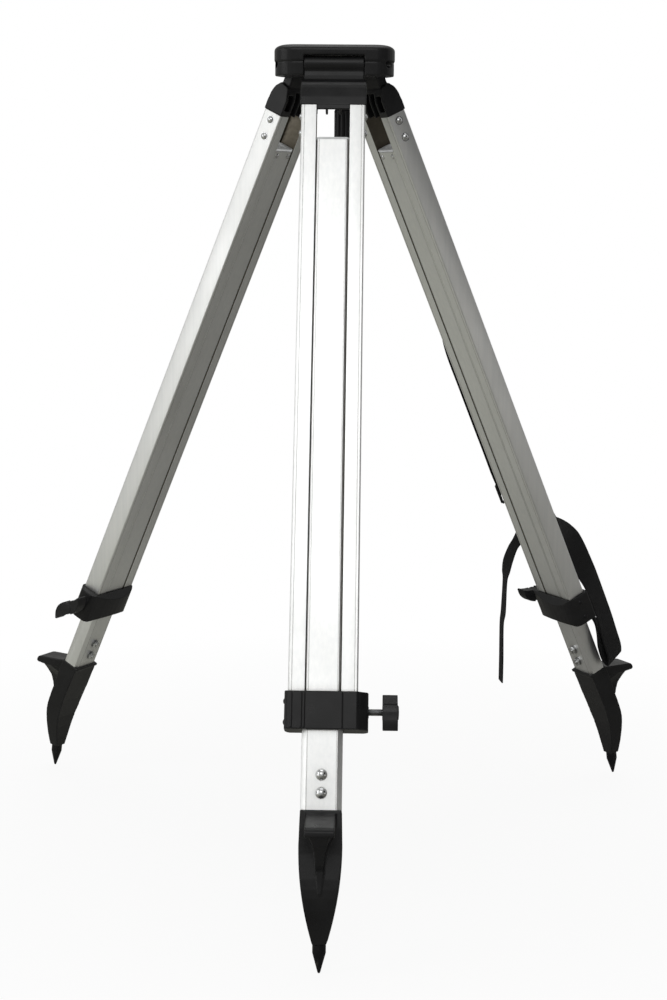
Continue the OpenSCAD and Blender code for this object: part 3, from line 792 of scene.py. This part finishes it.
def make_foot_bolts():
    """Dome heads on the outer face, nuts with thread ends on the inner face."""
    mid = (BOLTS["u"][0] + BOLTS["u"][1]) / 2
    inner, outer = LOWER["n"]
    head = dome(BOLT_HEAD_R, BOLT_HEAD_H, 0.8, 10)
    washer = lathe([(0, 0), (WASHER_R, 0), (WASHER_R, WASHER_H), (BOLT_R + 0.1, WASHER_H),
                    (0, WASHER_H)], 40)
    nut = moved(hex_nut(NUT_ACROSS, NUT_H, BOLT_R + 0.05), Matrix.Translation((0, 0, WASHER_H)))
    rod = thread(BOLT_R, 0.3, 1, -3, BOLT_REACH, 28, 6)
    meshes = []
    for u in (mid - BOLT_STEP / 2, mid + BOLT_STEP / 2):
        out = Matrix.Translation((outer, 0, -u)) @ Matrix.Rotation(math.pi / 2, 4, "Y")
        back = Matrix.Translation((inner, 0, -u)) @ Matrix.Rotation(-math.pi / 2, 4, "Y")
        meshes.append(moved(head, out))
        meshes += [moved(mesh, back) for mesh in (washer, nut, rod)]
    on_each_leg("foot_bolts_set", joined(meshes), "zinc", "lower_leg", "foot_bolts")


POINT_LEAN = math.radians(17)


def make_foot_points():
    """Turned steel point: a short shank and a cone with a blunt tip."""
    profile = [(0, 0), (0.9, 0.1), (1.5, 0.8), (7.2, 21.6), (7.5, 22.6), (7.5, 31.9), (7.0, 32.4),
               (3.9, 32.5), (3.9, 54), (0, 54)]
    tip = front.matrix.inverted() @ Vector(MOUNTS["ground_point_front"]["pos_m"]) / MM
    base = Matrix.Translation(tip) @ Matrix.Rotation(POINT_LEAN, 4, "Y")
    on_each_leg("foot_point_turned", moved(lathe(profile, 48), base), "dark_steel", "lower_leg",
                "foot_point", crisp=25)


# ---------- clamp screws and knobs ----------

# Clamp screw, in mm: radius, plain radius, depth and pitch of the thread, and where it starts
SCREW_R = 4
SCREW_PLAIN_R = 3.7
SCREW_DEPTH = 0.62
SCREW_PITCH = 1.25
SCREW_START = 50


def make_clamp_screws():
    first, last = SCREW["t"]
    end = SCREW_START + 0.2
    plain = lathe([(0, first), (SCREW_PLAIN_R, first), (SCREW_PLAIN_R, SCREW_START),
                   (SCREW_PLAIN_R, end), (0, end)], 36)
    rod = thread(SCREW_R, SCREW_DEPTH, SCREW_PITCH, SCREW_START, last, 36, 8)
    mesh = moved(along_t(joined([plain, rod])), Matrix.Translation((MID_N, 0, -SCREW_U)))
    on_each_leg("clamp_screw_threaded", mesh, "bright_steel", "clamp_screw", "clamp_screw")


KNOB_TURN = {"front": 30, "right": 14, "left": 36}
WING_HALF = (9.2, 8.2, 5.8, 1.8)


def wing_outline(side):
    """A curved wing, broad at the hub and bending to a blunt tip, seen along the screw."""
    inner, outer = [], []
    steps = 18
    for k in range(steps + 1):
        s = 3 * k / steps
        bend = math.radians(9 * s)
        low = min(2, int(s))
        half = WING_HALF[low] + (WING_HALF[low + 1] - WING_HALF[low]) * (s - low)
        centre = Vector((math.cos(bend), math.sin(bend))) * (5 + 6.5 * s)
        lean = bend * 1.9
        across = Vector((-math.sin(lean), math.cos(lean))) * half
        outer.append(centre + across)
        inner.append(centre - across)
    tip = (outer[-1] + inner[-1]) / 2
    start = outer[-1] - tip
    cap = []
    for k in range(1, 8):
        a = -math.pi * k / 8
        cap.append(tip + Vector((start.x * math.cos(a) - start.y * math.sin(a),
                                 start.x * math.sin(a) + start.y * math.cos(a))))
    return [tuple(p * side) for p in outer + cap + list(reversed(inner))]


def make_wing_knobs():
    low, high = KNOB["t"]
    parts = [lathe([(0, low), (8.6, low), (8.6, high - 1.6), (7.4, high - 0.4), (0, high)], 48)]
    for side in (1, -1):
        parts.append(prism(wing_outline(side), low + 0.2, high - 1.4))
    mesh = moulded(parts, 0.5, 5)
    for leg in legs.values():
        turn = Matrix.Rotation(math.radians(KNOB_TURN[leg.name]), 4, "Z")
        local = along_t(moved(mesh, turn))
        local.transform(Matrix.Translation((MID_N, 0, -SCREW_U)))
        piece("wing_knob_moulded_" + leg.name, moved(local, leg.matrix @ TO_METRES),
              "black_plastic", "clamp_screw_" + leg.name, ["wing_knob_" + leg.name], crisp=None)


# ---------- fixing screw ----------

def make_fixing_screw():
    low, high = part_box("fixing_screw")
    x = (low.x + high.x) / 2
    y = (low.y + high.y) / 2
    place = Matrix.Translation((x, y, 0)) @ TO_METRES
    top = high.z / MM
    bottom = low.z / MM
    shank_r = 5.5
    instrument = thread(7.9375, 1.25, 25.4 / 11, top - 11, top, 48, 10)
    shank = lathe([(0, bottom), (shank_r, bottom), (shank_r, top - 11.6), (6.6, top - 11.2),
                   (6.6, top - 10.8), (0, top - 10.8)], 48)
    collar_top = -36.2
    collar = lathe([(0, collar_top - 2), (7.6, collar_top - 2), (8, collar_top - 1.6),
                    (8, collar_top - 0.4), (7.6, collar_top), (0, collar_top)], 48)
    piece("fixing_screw_threaded", moved(joined([instrument, shank, collar]), place),
          "bright_steel", "fixing_screw", ["fixing_screw"])

    knob_low, knob_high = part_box("fixing_knob")
    z0, z1 = knob_low.z / MM, knob_high.z / MM
    radius = (knob_high.x - knob_low.x) / 2 / MM
    body = [(0, z0), (radius - 3, z0), (radius - 1, z0 + 0.7), (radius, z0 + 2.4)]
    body += [(radius, z0 + 4 + k * 1.5) for k in range(36)]
    body += [(radius, z1 - 8.4), (radius - 0.8, z1 - 6.4), (radius - 3, z1 - 4.6),
             (radius - 4.6, z1 - 3.8), (8.4, z1 - 3), (8.4, z1 - 0.6), (7.8, z1), (0, z1)]
    flute_low, flute_high = z0 + 4, z1 - 8

    def fluted(r, z, angle):
        if r < radius - 1.1 or not flute_low < z < flute_high:
            return r
        ends = min(1, (z - flute_low) / 3, (flute_high - z) / 3)
        ridge = abs(math.sin(6 * angle)) ** 0.7
        return r - 1.9 * (1 - ridge) * ends

    piece("fixing_knob_fluted", moved(lathe(body, 192, fluted), place), "black_plastic",
          "fixing_screw", ["fixing_knob"])

    hook_low, hook_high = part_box("plumb_hook")
    top_z = hook_high.z / MM
    ring_z = top_z - 9.9
    ring = [(5.5 * math.sin(a), 0, ring_z + 5.5 * math.cos(a))
            for a in [math.radians(25 + 11 * k) for k in range(29)]]
    stem = lathe([(0, top_z), (4, top_z), (4, top_z - 2.6), (2.6, top_z - 3.6), (1.6, top_z - 4.4),
                  (0, top_z - 4.4)], 32)
    neck = tube_along([(0, 0, top_z - 3), (0, 0, top_z - 4.2), ring[0]], 1.4, 14)
    piece("plumb_hook_bent", moved(joined([stem, neck, tube_along(ring, 1.4, 14)]), place), "zinc",
          "fixing_screw", ["plumb_hook"])


# ---------- strap ----------

WEB_W = 38
WEB_T = 2.0
# Path of the strap on the right leg: u, t, n in mm, and turn in degrees (0 lies flat on the leg)
STRAP_PATH = [
    (160, 0, 14.6, 0), (215, 2, 15, 0), (270, 14, 19.5, -12), (330, 33.5, 19, -42),
    (395, 45, 7, -80), (460, 45, 4, -90), (550, 45.5, 4, -90), (615, 45, 5, -86),
    (652, 38, 16, -58), (676, 18, 27, -14), (694, -5, 31.5, 38), (711, -18.5, 31.5, 68),
    (730, -24.5, 31, 76), (760, -27.5, 31, 78), (787, -28, 34, 69), (828, -29, 34, 66),
    (850, -32.5, 31, 68), (878, -34, 28, 70), (898, -34.5, 26.5, 70), (911, -31.5, 23.5, 70),
    (901, -27.5, 20, 70), (880, -26, 20, 64), (858, -21, 22.5, 44), (838, -10.5, 21.5, 15),
    (822, -2, 18.6, 2), (803, 0, 17.6, 0)]
TAIL_PATH = [
    (0, 0, 0, 0), (14, 0, 0, 0), (30, 4, 1, -5), (46, 15, 2, -5), (61, 29, 2, 2),
    (81, 40, 2, 0), (98, 43.5, 1, 8), (113, 45.6, 1, 21), (158, 46.5, 0, 20),
    (179, 50, 0, 23), (231, 49, 0, 22), (266, 49, 0, 22)]


def smooth_path(points, steps):
    """Catmull-Rom curve through the control points."""
    last = len(points) - 1
    out = []
    for k in range(last):
        a, b = points[max(k - 1, 0)], points[k]
        c, d = points[k + 1], points[min(k + 2, last)]
        for j in range(steps):
            s = j / steps
            out.append(tuple(
                0.5 * (2 * q + (r - p) * s + (2 * p - 5 * q + 4 * r - w) * s * s
                       + (3 * q - p - 3 * r + w) * s ** 3)
                for p, q, r, w in zip(a, b, c, d)))
    out.append(points[last])
    return out


def web_mesh(stations, width, thick, ribs=10):
    """Woven tape along (centre, across) stations: rolled selvedges, shallow ribs, UVs in mm."""
    across_steps = 40
    section = []
    for k in range(across_steps + 1):
        x = -width / 2 + width * k / across_steps
        edge = min(1, (width / 2 - abs(x)) / (thick * 0.5))
        rib = 0.06 * math.cos(2 * math.pi * ribs * k / across_steps)
        section.append((x, (thick / 2 + rib) * math.sqrt(max(0.05, 1 - (1 - edge) ** 2))))
    ring = [(x, y) for x, y in section] + [(x, -y) for x, y in reversed(section)]
    verts, rows, faces = [], [], []
    run = 0.0
    last = len(stations) - 1
    runs = []
    for k, (centre, across) in enumerate(stations):
        course = stations[min(k + 1, last)][0] - stations[max(k - 1, 0)][0]
        normal = course.cross(across).normalized()
        if k:
            run += (centre - stations[k - 1][0]).length
        runs.append(run)
        rows.append(len(verts))
        for x, y in ring:
            verts.append(centre + across * x + normal * y)
    count = len(ring)
    for k in range(last):
        for j in range(count):
            a = rows[k] + j
            b = rows[k] + (j + 1) % count
            faces.append((a, b, b + count, a + count))
    for base in (0, rows[last]):
        for j in range(across_steps):
            m = count - 1 - j
            faces.append((base + j, base + j + 1, base + m - 1, base + m))
    mesh = build(verts, faces)
    layer = mesh.uv_layers.new(name="tape")
    for loop in mesh.loops:
        k, j = divmod(loop.vertex_index, count)
        layer.data[loop.index].uv = (ring[j][0], runs[k])
    return mesh


def leg_stations(path):
    """Centre and across direction at each point of a path in leg axes."""
    out = []
    for u, t, n, turn in path:
        a = math.radians(turn)
        out.append((Vector((n, t, -u)), Vector((math.sin(a), math.cos(a), 0))))
    return out


def stitch_box(centre, across, down, out, half_w, half_h, spacing=2.6):
    """A box stitch with a cross: short capsules of yarn that stand on the tape."""
    corners = [(-half_w, -half_h), (half_w, -half_h), (half_w, half_h), (-half_w, half_h)]
    runs = [(corners[k], corners[(k + 1) % 4]) for k in range(4)]
    runs += [(corners[0], corners[2]), (corners[1], corners[3])]
    meshes = []
    for a, b in runs:
        a, b = Vector(a), Vector(b)
        count = int((b - a).length / spacing)
        for k in range(count):
            start = a.lerp(b, (k + 0.15) / count)
            end = a.lerp(b, (k + 0.85) / count)
            points = []
            for s in range(5):
                p = start.lerp(end, s / 4)
                rise = 0.35 * math.sin(math.pi * s / 4)
                points.append(centre + across * p.x + down * p.y + out * rise)
            meshes.append(tube_along(points, 0.3, 6))
    return meshes


def make_strap():
    leg = legs["right"]
    place = leg.matrix @ TO_METRES
    path = smooth_path(STRAP_PATH, 9)
    strap = web_mesh(leg_stations(path), WEB_W, WEB_T)
    piece("strap_webbing", moved(strap, place), "black_webbing", "leg_right", ["strap"], crisp=50)
    # the ends are folded back and sewn
    upper = [(164, 0, 16.7, 0), (180, 0.3, 16.8, 0), (200, 1.2, 16.9, 0), (212, 1.8, 17.2, 0)]
    lower = [(804, 0, 19.8, 0), (812, -0.4, 20, 0), (820, -1.2, 20.6, 2)]
    folds = [web_mesh(leg_stations(smooth_path(p, 5)), WEB_W - 1, 1.9) for p in (upper, lower)]
    fold = joined(folds)
    fold_obj = piece("strap_folds", moved(fold, place), "black_webbing", "leg_right", crisp=50)
    layer = fold_obj.data.uv_layers.new(name="tape")
    inverse = place.inverted()
    for loop in fold_obj.data.loops:
        p = inverse @ fold_obj.data.vertices[loop.vertex_index].co
        layer.data[loop.index].uv = (p.y, -p.z)
    yarn = stitch_box(Vector((17.95, 0.9, -194)), Vector((0, 1, 0)), Vector((0, 0, -1)),
                      Vector((1, 0, 0)), 14, 11)
    yarn += stitch_box(Vector((20.8, -0.2, -811)), Vector((0, 1, 0)), Vector((0, 0, -1)),
                       Vector((1, 0, 0)), 14, 4)
    piece("strap_stitching", moved(joined(yarn), place), "black_webbing", "leg_right",
          material="stitching")


def make_tail():
    joint = JOINTS["tail_hang"]
    leg = legs["right"]
    out = leg.t.cross(Vector((0, 0, 1)))
    place = (Matrix.Translation(Vector(joint["pos_m"]))
             @ Matrix((out, leg.t, Vector((0, 0, 1)))).transposed().to_4x4() @ TO_METRES)
    stations = []
    for drop, t, n, turn in smooth_path(TAIL_PATH, 9):
        a = math.radians(turn)
        stations.append((Vector((n, t, -drop)), Vector((math.sin(a), math.cos(a), 0))))
    mesh = web_mesh(stations, WEB_W * 0.64, WEB_T, 7)
    piece("strap_tail_webbing", moved(mesh, place), "black_webbing", "strap_tail", ["strap_tail"],
          crisp=50)


def make_buckle():
    """Ladder-lock buckle: side rails, three bars and a lifted thumb tab."""
    leg = legs["right"]
    half_w, half_h = 23, 16
    parts = []
    reach, drop = half_w - 2, half_h - 2
    for x in (-reach, reach):
        parts.append(tube_along([(x, 5.2, z) for z in (-drop, 0, drop)], 2.1, 14))
    for z, lift, r in ((-drop, 5.2, 2.1), (0, 4.7, 1.7), (drop, 5.4, 2.2)):
        parts.append(tube_along([(x, lift, z) for x in (-reach, 0, reach)], r, 14))
    tab = fillet([(-half_w + 3, half_h - 3), (half_w - 3, half_h - 3), (half_w - 7, half_h + 3),
                  (-half_w + 7, half_h + 3)], 2)
    parts.append(moved(prism(tab, -7.1, -4.8), Matrix.Rotation(math.pi / 2, 4, "X")))
    mesh = moulded(parts, 0.5, 4)
    place = Matrix.Translation((9.5, 45, -632)) @ Matrix.Rotation(math.radians(-14), 4, "Z")
    piece("strap_buckle_moulded", moved(mesh, leg.matrix @ TO_METRES @ place), "black_plastic",
          "leg_right", ["strap_buckle"], crisp=None)


def make_anchors():
    """Riveted plate at the top of the strap and keeper plate on the clamp."""
    leg = legs["right"]
    face = RAIL["n"][1]
    low = CLAMP["n"][1]
    plate = fillet([(-30, 156), (30, 156), (30, 176), (-30, 176)], 4)
    plate = prism([(t, -u) for t, u in plate], 0, 2)
    columns = (Vector((0, 1, 0)), Vector((0, 0, 1)), Vector((1, 0, 0)))
    upright = Matrix(columns).transposed().to_4x4()
    top = moved(plate, Matrix.Translation((face + 0.05, 0, 0)) @ upright)
    keeper = fillet([(-20, CLAMP["u"][0] + 12), (20, CLAMP["u"][0] + 12),
                     (20, CLAMP["u"][0] + 24), (-20, CLAMP["u"][0] + 24)], 3)
    keeper = prism([(t, -u) for t, u in keeper], 0, 1.4)
    bottom = moved(keeper, Matrix.Translation((low + 0.95, 0, 0)) @ upright)
    rivets = []
    for t in (-25, 25):
        place = Matrix.Translation((face + 2.05, t, -166)) @ Matrix.Rotation(math.pi / 2, 4, "Y")
        rivets.append(moved(dome(3.6, 2, 0.3), place))
    mesh = joined([top, bottom] + rivets)
    piece("strap_anchors_plates", moved(mesh, leg.matrix @ TO_METRES), "dark_steel", "leg_right",
          ["strap_anchors"])


# ---------- CAD parts that keep their shape ----------

def dress_cad_nodes():
    slots = {s["node"]: s["material_slot"] for s in frame["record"]["subparts"]}
    for name, node in frame["nodes"].items():
        slot = slots[name]
        if slot == "satin_aluminium":
            slot += "_" + name.rsplit("_", 1)[1]
        node.data.materials.clear()
        node.data.materials.append(MATERIALS[slot])


# ---------- stage, light and camera ----------

def make_floor(level):
    """A plain pale floor that melts into the background and looks darker in reflections."""
    mesh = build([(-9, -9, level), (9, -9, level), (9, 9, level), (-9, 9, level)], [(0, 1, 2, 3)])
    floor = link("floor", mesh)
    s = Shader("floor")
    s.set(Base_Color=s.mix(s.noise(s.mapping(), 3, 4), (0.84, 0.84, 0.84), (0.87, 0.87, 0.87)))
    s.set(Roughness=0.9)
    s.set(Specular_IOR_Level=0.1)
    s.set(Normal=s.bump(s.noise(s.mapping(), 240, 3), 0.03, 0.001))
    path = s.tree.nodes.new("ShaderNodeLightPath")
    glow = s.tree.nodes.new("ShaderNodeEmission")
    glow.inputs["Color"].default_value = (BACKDROP, BACKDROP, BACKDROP, 1)
    reach = s.tree.nodes.new("ShaderNodeVectorMath")
    reach.operation = "LENGTH"
    s.feed(reach.inputs[0], s.place.outputs["Object"])
    fade = s.range(reach.outputs["Value"], 0.3, 1.5, 0.72, 1)
    pale = s.tree.nodes.new("ShaderNodeMixShader")
    s.feed(pale.inputs[0], fade)
    s.tree.links.new(s.bsdf.outputs[0], pale.inputs[1])
    s.tree.links.new(glow.outputs[0], pale.inputs[2])
    # Painted reflection: glossy rays see a darker floor, lighter towards the left and darker towards the right,
    # standing in for the studio's light and flags.
    across = s.tree.nodes.new("ShaderNodeSeparateXYZ")
    s.feed(across.inputs[0], s.place.outputs["Object"])
    side = s.range(across.outputs["X"], -0.6, 0.2, 0, 1)
    dark = s.tree.nodes.new("ShaderNodeBsdfDiffuse")
    s.feed(dark.inputs[0], s.mix(side, (0.42, 0.42, 0.37), (0.20, 0.195, 0.175)))
    final = s.tree.nodes.new("ShaderNodeMixShader")
    s.feed(final.inputs[0], path.outputs["Is Glossy Ray"])
    s.tree.links.new(pale.outputs[0], final.inputs[1])
    s.tree.links.new(dark.outputs[0], final.inputs[2])
    s.tree.links.new(final.outputs[0], s.out.inputs[0])
    floor.data.materials.append(s.material)


def face_to(obj, place, target):
    obj.location = place
    obj.rotation_euler = (Vector(target) - Vector(place)).to_track_quat("-Z", "Y").to_euler()


def softbox(name, place, target, size, radiance, tint=(1, 1, 1)):
    """A rectangular area light whose face shows the given radiance in reflections."""
    data = bpy.data.lights.new(name, "AREA")
    data.shape = "RECTANGLE"
    data.size, data.size_y = size
    data.energy = radiance * math.pi * size[0] * size[1]
    data.color = tint
    obj = bpy.data.objects.new(name, data)
    bpy.context.scene.collection.objects.link(obj)
    face_to(obj, place, target)


def dark_card(name, place, target, size):
    """A black card that only reflections see."""
    w, h = size[0] / 2, size[1] / 2
    card = link(name, build([(-w, -h, 0), (w, -h, 0), (w, h, 0), (-w, h, 0)], [(0, 1, 2, 3)]))
    face_to(card, place, target)
    s = Shader(name)
    s.set(Base_Color=s.mix(s.noise(s.mapping(), 4), (0.006, 0.006, 0.006), (0.012, 0.012, 0.012)))
    s.set(Roughness=0.9)
    card.data.materials.append(s.material)
    card.visible_camera = False
    card.visible_diffuse = False
    card.visible_shadow = False


BACKDROP = 1.0


def make_light():
    world = bpy.data.worlds.new("studio")
    bpy.context.scene.world = world
    world.use_nodes = True
    tree = world.node_tree
    tree.nodes.clear()
    out = tree.nodes.new("ShaderNodeOutputWorld")
    path = tree.nodes.new("ShaderNodeLightPath")
    seen = tree.nodes.new("ShaderNodeBackground")
    seen.inputs[0].default_value = (BACKDROP, BACKDROP, BACKDROP, 1)
    room = tree.nodes.new("ShaderNodeBackground")
    room.inputs[0].default_value = (0.40, 0.40, 0.39, 1)
    mix = tree.nodes.new("ShaderNodeMixShader")
    tree.links.new(path.outputs["Is Camera Ray"], mix.inputs[0])
    tree.links.new(room.outputs[0], mix.inputs[1])
    tree.links.new(seen.outputs[0], mix.inputs[2])
    tree.links.new(mix.outputs[0], out.inputs[0])
    centre = (0, 0, -0.5)
    softbox("front_top", (-0.3, -3.3, 2.3), centre, (3.0, 2.2), 1.5)
    softbox("left_panel", (-2.9, -1.7, -0.15), centre, (1.5, 1.7), 1.25)
    softbox("left_top", (-2.7, -0.8, 1.1), centre, (1.3, 1.0), 2.2)
    softbox("right_panel", (2.8, -1.6, -0.6), centre, (1.2, 1.1), 0.42, (1, 0.98, 0.94))
    softbox("top", (0, 0.9, 2.6), centre, (2.4, 2.0), 1.6)
    dark_card("right_front_card", (1.9, -2.5, -0.3), centre, (0.8, 2.4))
    dark_card("right_top_card", (2.6, -1.1, 0.75), centre, (2.0, 2.6))


def make_camera():
    """At the viewing angle of the picture: low, looking slightly down, a little to the right."""
    data = bpy.data.cameras.new("camera")
    data.lens = 63.71
    data.sensor_width = 36
    data.clip_end = 60
    camera = bpy.data.objects.new("camera", data)
    bpy.context.scene.collection.objects.link(camera)
    distance, below_head = 2.3003, 0.2047
    azimuth, pitch, roll, aim = (math.radians(a) for a in (1.222, 9.263, 0.444, 0.057))
    camera.location = (distance * math.sin(azimuth), -distance * math.cos(azimuth), -below_head)
    heading = Matrix.Rotation(azimuth - aim, 4, "Z")
    look = Matrix.Rotation(math.pi / 2 - pitch, 4, "X")
    camera.rotation_euler = (heading @ look @ Matrix.Rotation(roll, 4, "Z")).to_euler()
    bpy.context.scene.camera = camera


make_head()
make_castings()
make_rails()
make_lower_legs()
make_end_guides()
make_rivets()
make_guide_rivets()
make_foot_bolts()
make_foot_points()
make_clamp_screws()
make_wing_knobs()
make_fixing_screw()
make_strap()
make_tail()
make_buckle()
make_anchors()
dress_cad_nodes()

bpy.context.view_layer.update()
make_floor(cad_bounds[0][2])
make_light()
make_camera()
bpy.context.scene.view_settings.view_transform = "Standard"
